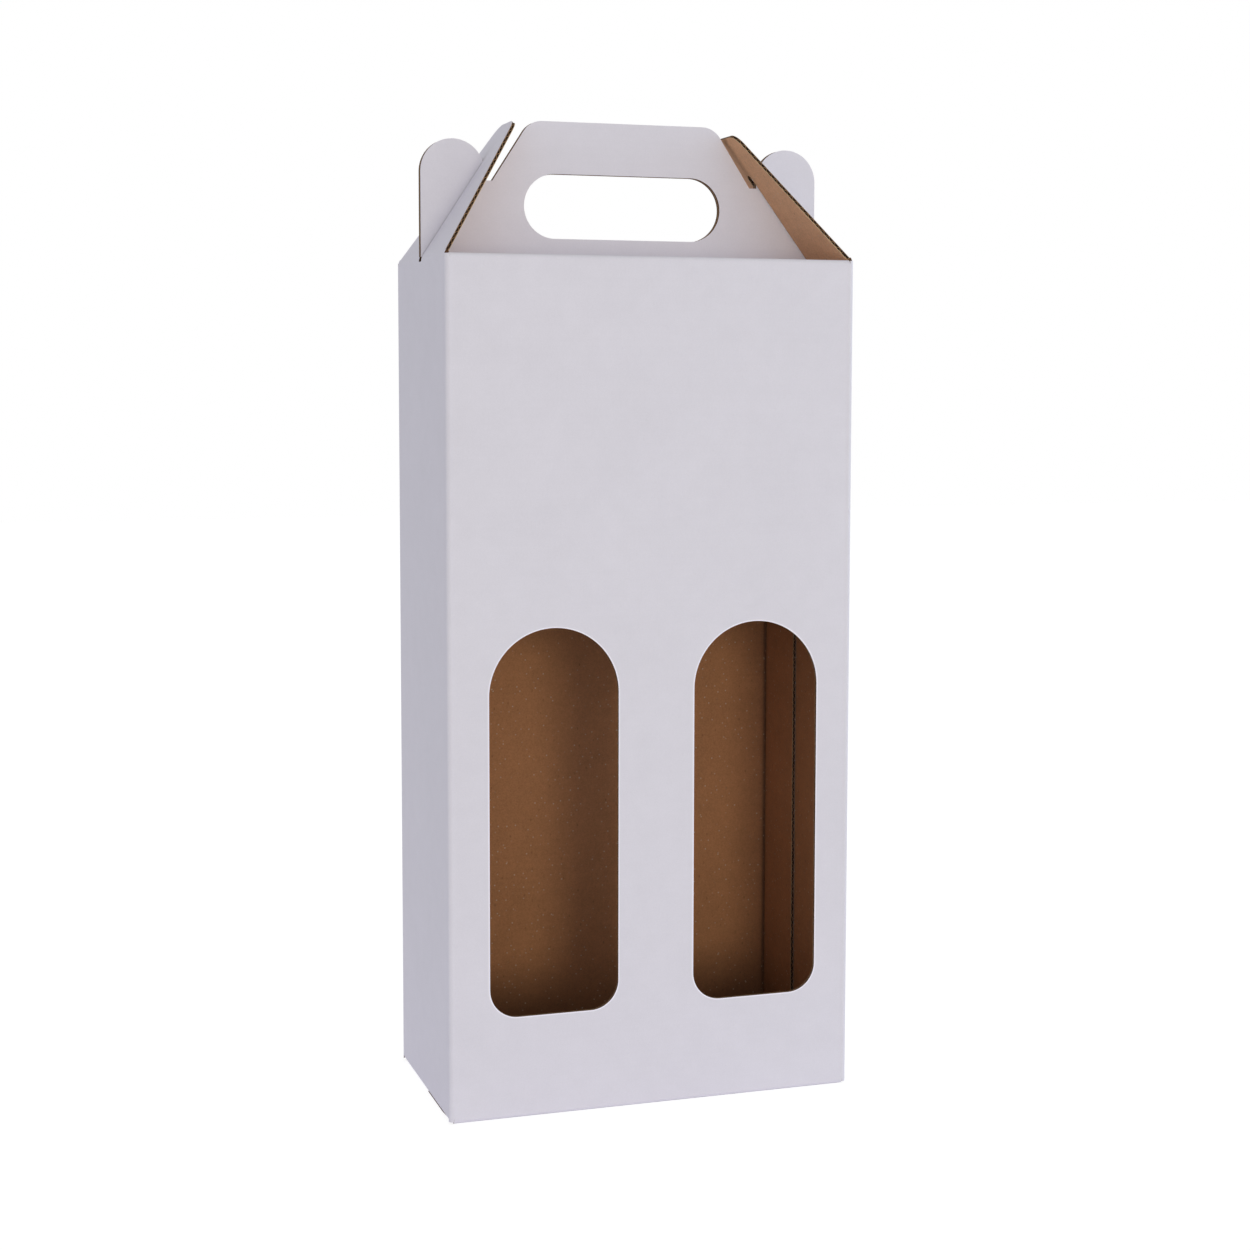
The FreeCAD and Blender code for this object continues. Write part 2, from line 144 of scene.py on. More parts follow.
def bentPath(points, anchor, value):
    # a folded section: its length runs so that the point numbered anchor has the length value
    points = np.array(points, float)
    step = np.diff(points, axis=0)
    lengths = np.linalg.norm(step, axis=1)
    way = step / lengths[:, None]
    left = np.stack([-way[:, 1], way[:, 0]], axis=1)
    before = np.vstack([left[:1], left])
    after = np.vstack([left, left[-1:]])
    normal = before + after
    normal /= (np.einsum("ij,ij->i", normal, normal) / 2)[:, None]
    along = np.concatenate([[0], np.cumsum(lengths)])
    return {"points": points, "normals": normal, "along": along - along[anchor] + value}


def follow(path, along, out):
    # places on a folded section, moved outwards by out
    index = np.clip(np.searchsorted(path["along"], along, side="right") - 1, 0, len(path["along"]) - 2)
    start, end = path["along"][index], path["along"][index + 1]
    share = ((along - start) / (end - start))[:, None]
    low = path["points"][index] + path["normals"][index] * out[:, None]
    high = path["points"][index + 1] + path["normals"][index + 1] * out[:, None]
    return low + (high - low) * share


def lengthAt(path, place):
    # the length at the point of a section nearest to place
    gap = np.linalg.norm(path["points"] - np.array(place), axis=1)
    return path["along"][gap.argmin()]


# The carton's folded sections are (depth, width) in plan and (outward, up) in the others.

tab = {"width": 34.6, "slope": 15, "gap": 4}


def planSection():
    side, front = box["halfWidth"], box["halfDepth"]
    tabSide = side - board["thickness"] - box["glueLine"]
    tabEnd = front - board["thickness"] - tab["width"]

    def corner(y, x, start):
        return bend((y, x), board["fold"], start, start - 90)

    tabCorner = corner(foldEnd["front"], tabSide - board["fold"], 90)
    backCorner = corner(foldEnd["front"], -foldEnd["side"], 0)
    leftCorner = corner(-foldEnd["front"], -foldEnd["side"], -90)
    rightCorner = corner(-foldEnd["front"], foldEnd["side"], -180)
    points = [(tabEnd, tabSide), *tabCorner, *backCorner, *leftCorner, (-front, 0), *rightCorner,
              (front - box["seamSetback"], side)]
    return bentPath(points, points.index((-front, 0)), 0)


def topSection():
    front = box["halfDepth"]
    fold = bend((-foldEnd["front"], wallTop), board["fold"], 180, 90)
    rise = layerFront + board["innerBend"]
    upturn = bend((-rise, box["wallHeight"] + board["innerBend"]), board["innerBend"], -90, 0)
    start = wallTop - runs["start"]
    points = [
        (-front, wallTop - runs["wall"]),
        (-front, start),
        *fold[1:],
        *upturn,
        (-layerFront, cartonHigh.z + runs["handle"]),
    ]
    return bentPath(points, 1, start)


bottom = {
    "ramp": 7,
    "clearance": 1.5,
    "tongueWidth": 92,
    "tongueReach": 24,
    "shoulderInset": 1,
    "shoulderRelief": 18,
    "backReach": 70,
    "sideReach": 44,
    "sideCut": 20,
    "corner": 8,
}


def bottomSection(turn, foot, flat):
    # flat lists the flap's section from its free edge to the ramp's foot, outward and up
    half = turn + board["fold"]
    fold = bend((-turn, foot), board["fold"], -90, -180)
    end = wallFoot + runs["foot"]
    points = [*flat, *fold[:-1], (-half, end)]
    return bentPath(points, len(points) - 1, end)


plan = planSection()
top = topSection()
tongueFlat = bottom["ramp"] - bottom["clearance"]
frontUnder = bottomSection(foldEnd["front"], board["fold"], [
    (bottom["tongueReach"], underLevels["front"]),
    (tongueFlat, underLevels["front"]),
    (-bottom["clearance"], 0),
])
backUnder = bottomSection(foldEnd["front"], board["fold"], [
    (bottom["backReach"] - box["halfDepth"], underLevels["back"]),
    (bottom["ramp"] - foldEnd["front"], underLevels["back"]),
])
sideUnder = bottomSection(foldEnd["side"], wallFoot, [
    (bottom["sideReach"] - box["halfWidth"], underLevels["side"]),
    (bottom["ramp"] - foldEnd["side"], underLevels["side"]),
])


def uAt(y, x):
    return lengthAt(plan, (y, x))


# lengths along the blank where its panels begin and end
tabTurn = box["halfWidth"] - board["thickness"] - box["glueLine"]
uTab = plan["along"][0]
uTabStart = uAt(foldEnd["front"], tabTurn)
uBackStart = uAt(box["halfDepth"], tabTurn - board["fold"])
uBackEnd = uAt(box["halfDepth"], -foldEnd["side"])
uLeftStart = uAt(foldEnd["front"], -box["halfWidth"])
uLeftEnd = uAt(-foldEnd["front"], -box["halfWidth"])
uRightStart = uAt(-foldEnd["front"], box["halfWidth"])
uRightEnd = plan["along"][-1]
uBack = uBackEnd - foldEnd["side"]
uLeft = (uLeftStart + uLeftEnd) / 2
uRight = uRightStart + foldEnd["front"]
vFoot = lengthAt(top, (-layerFront, box["wallHeight"] + board["innerBend"]))


def cornerMiddles():
    side = foldEnd["side"]
    strips = [(uBackEnd, uLeftStart), (uLeftEnd, -side), (side, uRightStart), (uTabStart, uBackStart)]
    return [(start + end) / 2 for start, end in strips]


def nearCorner(u):
    # true strictly inside the bent strip of an upright corner
    half = board["fold"] * math.pi / 4 - slack["bend"]
    return np.any([np.abs(u - corner) < half for corner in cornerMiddles()], axis=0)


def foldCarton(flat):
    # carries points of the flat blank to their place on the folded carton
    u, v, w = flat.T
    folded = np.zeros_like(flat)
    inPlan = follow(plan, u, w)
    folded[:, 0], folded[:, 1], folded[:, 2] = inPlan[:, 1], inPlan[:, 0], v
    panelHalf = box["halfWidth"] + slack["panel"]
    inAir, inGround = wallTop + slack["level"], wallFoot - slack["level"]
    # a corner's ends stay upright past the folds
    onSpur = nearCorner(u) & (v > 0) & (v < wallTop + slack["spur"])
    for centre, way, under in ((0, 1, frontUnder), (uBack, -1, backUnder)):
        inside = (np.abs(u - centre) <= panelHalf) & ~onSpur
        above = inside & (v > inAir)
        section = follow(top, v[above], w[above])
        folded[above] = np.stack([(u[above] - centre) * way, section[:, 0] * way, section[:, 1]], axis=1)
        below = inside & (v < inGround)
        section = follow(under, v[below], w[below])
        folded[below] = np.stack([(u[below] - centre) * way, section[:, 0] * way, section[:, 1]], axis=1)
    for centre, way in ((uLeft, 1), (uRight, -1)):
        below = (np.abs(u - centre) <= foldEnd["front"] + slack["side"]) & (v < inGround) & ~onSpur
        section = follow(sideUnder, v[below], w[below])
        folded[below] = np.stack([section[:, 0] * way, -(u[below] - centre) * way, section[:, 1]], axis=1)
    return folded


def handleOutline(centre, leftSpan):
    # from the right end of the roof fold, over the ear and the crown, to the left end
    rise = vFoot
    ear = handle["earWidth"] / 2
    earX = box["halfWidth"] - ear
    slotX = box["halfWidth"] - handle["earWidth"] - handle["slotWidth"]
    slope = math.radians(handle["crownSlope"])

    def up(height):
        return rise + height - board["innerBend"]

    crownRun = (handle["crownHeight"] - handle["slotFloor"]) / math.tan(slope)
    cornerX = slotX - crownRun - handle["crownCorner"] * math.tan(slope / 2)
    half = [
        (box["halfWidth"], rise),
        *arcPoints((earX, up(handle["earHeight"] - ear)), ear, 0, 180, arcSteps["ear"]),
        (slotX + handle["slotWidth"], up(handle["slotFloor"])),
        (slotX, up(handle["slotFloor"])),
        *arcPoints((cornerX, up(handle["crownHeight"] - handle["crownCorner"])), handle["crownCorner"],
                   90 - handle["crownSlope"], 90, arcSteps["crown"]),
    ]
    whole = half + [(-x, y) for x, y in reversed(half)]
    roofRight = [(foldEnd["side"], wallTop), (foldEnd["side"], rise)]
    roofLeft = [(-leftSpan, rise), (-leftSpan, wallTop)]
    return [(centre + x, y) for x, y in roofRight + whole + roofLeft]


def backFlapOutline():
    # left to right along the blank, which is right to left on the back
    corner = bottom["corner"]
    side = foldEnd["side"] - bottom["shoulderInset"]
    end = backUnder["along"][0]
    notchHalf = bottom["tongueWidth"] / 2 + bottom["clearance"]
    notch = end + (bottom["backReach"] - box["halfDepth"]) + tongueFlat + bottom["clearance"]
    fold = lengthAt(backUnder, (-foldEnd["front"], 0))
    half = [
        (notchHalf, notch),
        (notchHalf, end),
        *arcPoints((side - corner, end + corner), corner, -90, 0, arcSteps["bottom"]),
    ]
    left = [(-x, y) for x, y in reversed(half)]
    start = (uBackStart + slack["panel"], fold)
    return [start] + [(uBack + x, y) for x, y in left + half] + [(uBack + side, fold)]


def sideFlapOutline(centre, rearWay):
    corner, cut = bottom["corner"], bottom["sideCut"]
    foldHalf = foldEnd["front"] - board["thickness"]
    rear = foldEnd["front"] - bottom["ramp"] - bottom["clearance"]
    end = sideUnder["along"][0]
    ramp = lengthAt(sideUnder, (bottom["ramp"] - foldEnd["side"], underLevels["side"]))
    fold = lengthAt(sideUnder, (-foldEnd["side"], wallFoot - board["fold"]))
    points = [
        (foldHalf, fold),
        (rear, ramp),
        (rear, end + cut),
        (rear - cut, end),
        *arcPoints((-foldHalf + corner, end + corner), corner, 270, 180, arcSteps["bottom"]),
        (-foldHalf, fold),
    ]
    placed = [(centre + rearWay * x, y) for x, y in points]
    return placed if rearWay < 0 else placed[::-1]


def frontFlapOutline():
    corner = bottom["corner"]
    side = box["halfWidth"] - bottom["shoulderInset"]
    tongue = bottom["tongueWidth"] / 2
    end = frontUnder["along"][0]
    shoulder = lengthAt(frontUnder, (-bottom["clearance"], 0))
    fold = lengthAt(frontUnder, (-foldEnd["front"], 0))
    relief = fold - bottom["shoulderRelief"] + board["fold"]
    half = [
        *arcPoints((tongue - corner, end + corner), corner, -90, 0, arcSteps["bottom"]),
        (tongue, shoulder),
        (side, shoulder),
        (side, relief),
        (foldEnd["side"], fold),
    ]
    return [(-x, y) for x, y in reversed(half)] + half


def spurOutline(start, end, edge, reach):
    # an upright corner's end, drawn in a little as it runs past the folds beside it
    inset = math.copysign(board["spurInset"], end - start)
    return [(start, edge), (start + inset, edge + reach), (end - inset, edge + reach), (end, edge)]


def cartonOutline():
    # the edge of the whole blank, anticlockwise from the glue tab's foot
    drop = tab["width"] * math.tan(math.radians(tab["slope"]))
    tabFoot, tabTop = wallFoot + tab["gap"], wallTop - tab["gap"]
    side = foldEnd["side"]
    sideTop = box["wallHeight"] - box["bandReach"]
    points = [
        (uTab, tabFoot + drop),
        (uTabStart, tabFoot),
        (uTabStart, wallFoot),
        (uBackStart, wallFoot),
        *backFlapOutline(),
        *spurOutline(uBackEnd, uLeftStart, wallFoot, board["spurFoot"]),
        *sideFlapOutline(uLeft, -1),
        *spurOutline(uLeftEnd, -side, wallFoot, board["spurFoot"]),
        *frontFlapOutline(),
        *spurOutline(side, uRightStart, wallFoot, board["spurFoot"]),
        *sideFlapOutline(uRight, 1),
        (uRightEnd, wallFoot),
        (uRightEnd, sideTop),
        (uRightStart, sideTop),
        *spurOutline(uRightStart, side, wallTop, board["spurTop"])[:-1],
        *handleOutline(0, side),
        *spurOutline(-side, uLeftEnd, wallTop, board["spurTop"])[1:],
        (uLeftEnd, sideTop),
        (uLeftStart, sideTop),
        *spurOutline(uLeftStart, uBackEnd, wallTop, board["spurTop"])[:-1],
        *handleOutline(uBack, uBack - uBackStart),
        (uTabStart, wallTop),
        (uTabStart, tabTop),
        (uTab, tabTop - drop),
    ]
    return points


windows = {
    "width": 57.6,
    "pitch": 92.2,
    "shift": 0.9,
    "sill": 44.5,
    "top": 212.2,
    "corner": 12.5,
    "rim": 0.8,            # a painted highlight round each window fades out this far out
}


def windowMiddles():
    return [windows["shift"] + side * windows["pitch"] for side in (-0.5, 0.5)]


def windowOutline(centre, grow=0):
    half, corner = windows["width"] / 2 + grow, windows["corner"] + grow
    right, left = centre + half, centre - half
    sill, crest = windows["sill"] - grow, windows["top"] + grow
    return [
        *arcPoints((right - corner, sill + corner), corner, -90, 0, arcSteps["window"]),
        *arcPoints((centre, crest - half), half, 0, 180, arcSteps["arch"]),
        *arcPoints((left + corner, sill + corner), corner, 180, 270, arcSteps["window"]),
    ][::-1]


def handHoleOutline(centre):
    radius = handle["holeHeight"] / 2
    run = (handle["holeLength"] - handle["holeHeight"]) / 2
    middle = vFoot + handle["holeBase"] + radius - board["innerBend"]
    return [
        *arcPoints((centre + run, middle), radius, -90, 90, arcSteps["hole"]),
        *arcPoints((centre - run, middle), radius, 90, 270, arcSteps["hole"]),
    ][::-1]


def cartonCreases():
    # every line of the blank where the board bends or its painted shade, painted highlight or dent begins
    side = foldEnd["side"]
    lines = []
    for u in plan["along"][1:-1]:
        foot, head = (board["spurFoot"], board["spurTop"]) if nearCorner(u) else (0, 0)
        lines.append(((u, wallFoot + foot), (u, wallTop + head)))
    for centre in (0, uBack):
        lines += [((centre - side, v), (centre + side, v)) for v in top["along"][1:-1]]
    lines += [((-side, v), (side, v)) for v in frontUnder["along"][1:]]
    lines += [((uBack - side, v), (uBack + side, v)) for v in backUnder["along"][1:]]
    for centre in (uLeft, uRight):
        half = foldEnd["front"]
        lines += [((centre - half, v), (centre + half, v)) for v in sideUnder["along"][1:]]
    for middle in windowMiddles():
        ring = windowOutline(middle, windows["rim"])
        lines += zip(ring, ring[1:] + ring[:1])
    lines.append(((uTab, board["footShade"]), (uRightEnd, board["footShade"])))
    for corner in cornerMiddles():
        for step in board["creaseLines"]:
            u = corner + step * board["creaseReach"]
            lines.append(((u, wallFoot), (u, wallTop)))
    return lines


def insideLoops(points, loops):
    # even-odd test of many points against closed outlines
    count = np.zeros(len(points), int)
    for loop in loops:
        ends = np.array(loop)
        starts = np.roll(ends, 1, axis=0)
        for (x0, y0), (x1, y1) in zip(starts, ends):
            if y0 == y1:
                continue
            spans = (points[:, 1] >= min(y0, y1)) & (points[:, 1] < max(y0, y1))
            cross = x0 + (points[:, 1] - y0) * (x1 - x0) / (y1 - y0)
            count += spans & (points[:, 0] < cross)
    return count % 2 == 1


def triangulate(loops, lines):
    # a flat blank as triangles that keep to its outlines and its crease lines
    points, edges = [], []
    for loop in loops:
        first = len(points)
        points += loop
        edges += [(first + i, first + (i + 1) % len(loop)) for i in range(len(loop))]
    for start, end in lines:
        edges.append((len(points), len(points) + 1))
        points += [start, end]
    made = delaunay_2d_cdt([Vector(p) for p in points], edges, [], 0, slack["merge"])
    places = np.array([tuple(p) for p in made[0]])
    faces = np.array([f for f in made[2] if len(f) == 3])
    inside = insideLoops(places[faces].mean(axis=1), loops)
    faces = faces[inside]
    used, faces = np.unique(faces, return_inverse=True)
    return places[used], faces.reshape(-1, 3)


def boundaryEdges(faces):
    pairs = np.concatenate([faces[:, [0, 1]], faces[:, [1, 2]], faces[:, [2, 0]]])
    known = {tuple(pair) for pair in pairs}
    return np.array([pair for pair in pairs if (pair[1], pair[0]) not in known])


def makeLiner(name, places, faces, outer, inner, fold, materials):
    # one paper layer of the board between two depths, as a closed thin sheet
    count = len(places)
    dent = creaseDent(places[:, 0], places[:, 1]) if fold is foldCarton else 0
    flat = np.concatenate([
        np.column_stack([places, np.full(count, outer) - dent]),
        np.column_stack([places, np.full(count, inner) - dent]),
    ])
    rim = boundaryEdges(faces)
    quads = np.column_stack([rim[:, 1], rim[:, 0], rim[:, 0] + count, rim[:, 1] + count])
    mesh = bpy.data.meshes.new(name)
    folded = fold(flat) / 1000
    sheets = [*faces, *(faces[:, ::-1] + count), *quads]
    mesh.from_pydata([tuple(p) for p in folded], [], [tuple(face) for face in sheets])
    slots = np.concatenate([np.zeros(len(faces), int), np.ones(len(faces), int), np.full(len(quads), 2)])
    for material in materials:
        mesh.materials.append(material)
    mesh.polygons.foreach_set("material_index", slots.astype(np.int32))
    return finishMesh(name, mesh, flat)


sharpAngle = 32  # edges that turn by more degrees than this stay sharp


def finishMesh(name, mesh, flat):
    # stores each point's place on the blank, which the board's patterns follow
    blank = mesh.attributes.new("blank", "FLOAT_VECTOR", "POINT")
    blank.data.foreach_set("vector", (flat / 1000).astype(np.float32).ravel())
    if name.startswith("carton"):
        # painted shade for the carton's inside folds and foot
        paintedShade = mesh.attributes.new("paintedShade", "FLOAT", "POINT")
        paintedShade.data.foreach_set("value", insideShade(flat[:, 0], flat[:, 1]).astype(np.float32))
        # the rim attribute is a painted highlight round the windows
        rim = mesh.attributes.new("rim", "FLOAT", "POINT")
        rim.data.foreach_set("value", paintedWindowHighlight(flat).astype(np.float32))
    mesh.polygons.foreach_set("use_smooth", np.ones(len(mesh.polygons), bool))
    mesh.set_sharp_from_angle(angle=math.radians(sharpAngle))
    mesh.validate()
    piece = bpy.data.objects.new(name, mesh)
    bpy.context.scene.collection.objects.link(piece)
    return piece


def insideShade(u, v):
    # painted shade on the carton's inside: one at the upright folds and at the foot, fading out on the walls
    # beside them
    away = np.min([np.abs(u - corner) for corner in cornerMiddles()], axis=0)
    upright = (board["creaseShade"] - away) / board["creaseShade"] * 2
    return np.clip(np.maximum(upright, 1 - v / board["footShade"]), 0, 1)


def paintedWindowHighlight(flat):
    # painted highlight: one on the windows' outlines and none elsewhere, so it fades out within the rim
    edges = np.array([point for middle in windowMiddles() for point in windowOutline(middle)])
    gaps = np.hypot(flat[:, :1] - edges[:, 0], flat[:, 1:2] - edges[:, 1])
    return gaps.min(axis=1) < slack["level"]


def creaseDent(u, v):
    # the board is pressed a little thinner beside its upright folds
    dent = np.zeros(len(u))
    for corner in cornerMiddles():
        away = (np.abs(u - corner) - board["creaseReach"]) / (board["creaseReach"] * board["creaseWidth"])
        dent += np.exp(-away ** 2)
    onWall = (v >= wallFoot - slack["level"]) & (v <= wallTop + slack["level"])
    return dent * board["creaseDent"] * onWall


def newNode(tree, kind, **settings):
    made = tree.nodes.new(kind)
    for key, value in settings.items():
        setattr(made, key, value)
    return made


def mathNode(tree, operation, first, second=0.0):
    made = newNode(tree, "ShaderNodeMath", operation=operation)
    for socket, value in zip(made.inputs, (first, second)):
        if isinstance(value, (int, float)):
            socket.default_value = value
        else:
            tree.links.new(value, socket)
    return made.outputs[0]


flutes = {
    "pitch": 3.2,
    "sheet": 0.16,
    "depth": 3.4,
    "setback": 0.16,
    "spacing": 0.3,
    "crush": 0.16,
    "crushScale": 0.35,
    "crushDetail": 2,
    "rimSlope": 0.3,       # faces steeper than this are the ribbon's cut rim
}


def fluteTree(material):
    # cut edges come in as loops on the flat blank and leave as a waved ribbon just inside them
    tree = bpy.data.node_groups.new("flutedEdge", "GeometryNodeTree")
    face = tree.interface
    face.new_socket("Geometry", in_out="INPUT", socket_type="NodeSocketGeometry")
    sockets = {}
    for label in ("Pitch", "Swing", "Sheet", "Depth", "Setback", "Spacing", "Crush"):
        sockets[label] = face.new_socket(label, in_out="INPUT", socket_type="NodeSocketFloat").identifier
    face.new_socket("Geometry", in_out="OUTPUT", socket_type="NodeSocketGeometry")
    links = tree.links

    def node(kind, **settings):
        return newNode(tree, kind, **settings)

    def sums(operation, first, second=0.0):
        return mathNode(tree, operation, first, second)

    given = node("NodeGroupInput")
    curve = node("GeometryNodeMeshToCurve")
    links.new(given.outputs["Geometry"], curve.inputs["Mesh"])
    even = node("GeometryNodeResampleCurve", mode="LENGTH")
    links.new(curve.outputs["Curve"], even.inputs["Curve"])
    links.new(given.outputs["Spacing"], even.inputs["Length"])
    place = node("GeometryNodeInputPosition")
    apart = node("ShaderNodeSeparateXYZ")
    links.new(place.outputs[0], apart.inputs[0])
    turn = sums("MULTIPLY", sums("DIVIDE", apart.outputs["Y"], given.outputs["Pitch"]), 2 * math.pi)
    wave = sums("SINE", turn)
    rough = node("ShaderNodeTexNoise", noise_dimensions="3D")
    rough.inputs["Scale"].default_value = flutes["crushScale"]
    rough.inputs["Detail"].default_value = flutes["crushDetail"]
    links.new(place.outputs[0], rough.inputs["Vector"])
    crushed = sums("SUBTRACT", 1, sums("MULTIPLY", rough.outputs[0], given.outputs["Crush"]))
    swing = sums("MULTIPLY", sums("MULTIPLY", wave, given.outputs["Swing"]), crushed)
    lift = node("ShaderNodeCombineXYZ")
    links.new(swing, lift.inputs["Z"])
    waved = node("GeometryNodeSetPosition")
    links.new(even.outputs["Curve"], waved.inputs["Geometry"])
    links.new(lift.outputs[0], waved.inputs["Offset"])
    upright = node("GeometryNodeSetCurveNormal", mode="Z_UP")
    links.new(waved.outputs["Geometry"], upright.inputs["Curve"])
    strip = node("GeometryNodeCurvePrimitiveQuadrilateral", mode="RECTANGLE")
    links.new(given.outputs["Depth"], strip.inputs["Width"])
    links.new(given.outputs["Sheet"], strip.inputs["Height"])
    inward = node("ShaderNodeCombineXYZ")
    reach = sums("ADD", sums("MULTIPLY", given.outputs["Depth"], 0.5), given.outputs["Setback"])
    links.new(sums("MULTIPLY", reach, -1), inward.inputs["X"])
    moved = node("GeometryNodeTransform")
    links.new(strip.outputs["Curve"], moved.inputs["Geometry"])
    links.new(inward.outputs[0], moved.inputs["Translation"])
    ribbon = node("GeometryNodeCurveToMesh")
    ribbon.inputs["Fill Caps"].default_value = True
    links.new(upright.outputs["Curve"], ribbon.inputs["Curve"])
    links.new(moved.outputs["Geometry"], ribbon.inputs["Profile Curve"])
    real = node("GeometryNodeRealizeInstances")
    links.new(ribbon.outputs["Mesh"], real.inputs["Geometry"])
    paint = node("GeometryNodeSetMaterial")
    paint.inputs["Material"].default_value = material
    links.new(real.outputs["Geometry"], paint.inputs["Geometry"])
    out = node("NodeGroupOutput")
    links.new(paint.outputs["Geometry"], out.inputs["Geometry"])
    return tree, sockets


def makeFlutes(name, loops, fold, tree, sockets, materials):
    # the ribbon is made flat, turned into a plain mesh and folded with the rest of the board
    points, edges = [], []
    for loop in loops:
        first = len(points)
        points += [(x, y, 0) for x, y in loop]
        edges += [(first + i, first + (i + 1) % len(loop)) for i in range(len(loop))]
    guide = bpy.data.meshes.new(name + "Guide")
    guide.from_pydata(points, edges, [])
    holder = bpy.data.objects.new(name + "Guide", guide)
    bpy.context.scene.collection.objects.link(holder)
    modifier = holder.modifiers.new("flutes", "NODES")
    modifier.node_group = tree
    gapHalf = (board["thickness"] - 2 * board["liner"]) / 2
    values = {
        "Pitch": flutes["pitch"],
        "Swing": gapHalf - flutes["sheet"] / 2,
        "Sheet": flutes["sheet"],
        "Depth": flutes["depth"],
        "Setback": flutes["setback"],
        "Spacing": flutes["spacing"],
        "Crush": flutes["crush"],
    }
    for label, value in values.items():
        modifier[sockets[label]] = float(value)
    bpy.context.view_layer.update()
    graph = bpy.context.evaluated_depsgraph_get()
    mesh = bpy.data.meshes.new_from_object(holder.evaluated_get(graph))
    bpy.data.objects.remove(holder)
    mesh.name = name
    flat = np.zeros(len(mesh.vertices) * 3, np.float32)
    mesh.vertices.foreach_get("co", flat)
    flat = flat.reshape(-1, 3).astype(float)
    flat[:, 2] -= board["thickness"] / 2
    facing = np.zeros(len(mesh.polygons) * 3, np.float32)
    mesh.polygons.foreach_get("normal", facing)
    rims = np.abs(facing[2::3]) < flutes["rimSlope"]
    mesh.vertices.foreach_set("co", (fold(flat) / 1000).astype(np.float32).ravel())
    # the ribbon's sides take the hollows' painted shade, its cut rim the flute's own colour
    mesh.materials.clear()
    mesh.materials.append(materials["paintedHollowShade"])
    mesh.materials.append(materials["fluteCut"])
    mesh.polygons.foreach_set("material_index", rims.astype(np.int32))
    return finishMesh(name, mesh, flat)


# noises are scale, detail and stretch; specks are scale, size, share, turn and stretch
paper = {
    "slow": (120, 3),
    "cloud": (28, 2),
    "fibre": (900, 2, (1, 0.45, 1)),
    "grain": (1500, 2),
    "fibreHeight": 0.35,
    "grainHeight": 0.2,
    "dark": (240, 0.12, 0.3, 1.1, (1, 0.6, 1)),
    "light": (290, 0.13, 0.45, 0.6),
    "specular": 0.25,
    "toneSpan": (0.8, 1.2),
    "roughSpread": 0.06,
    "bumpDepth": 0.00006,
}


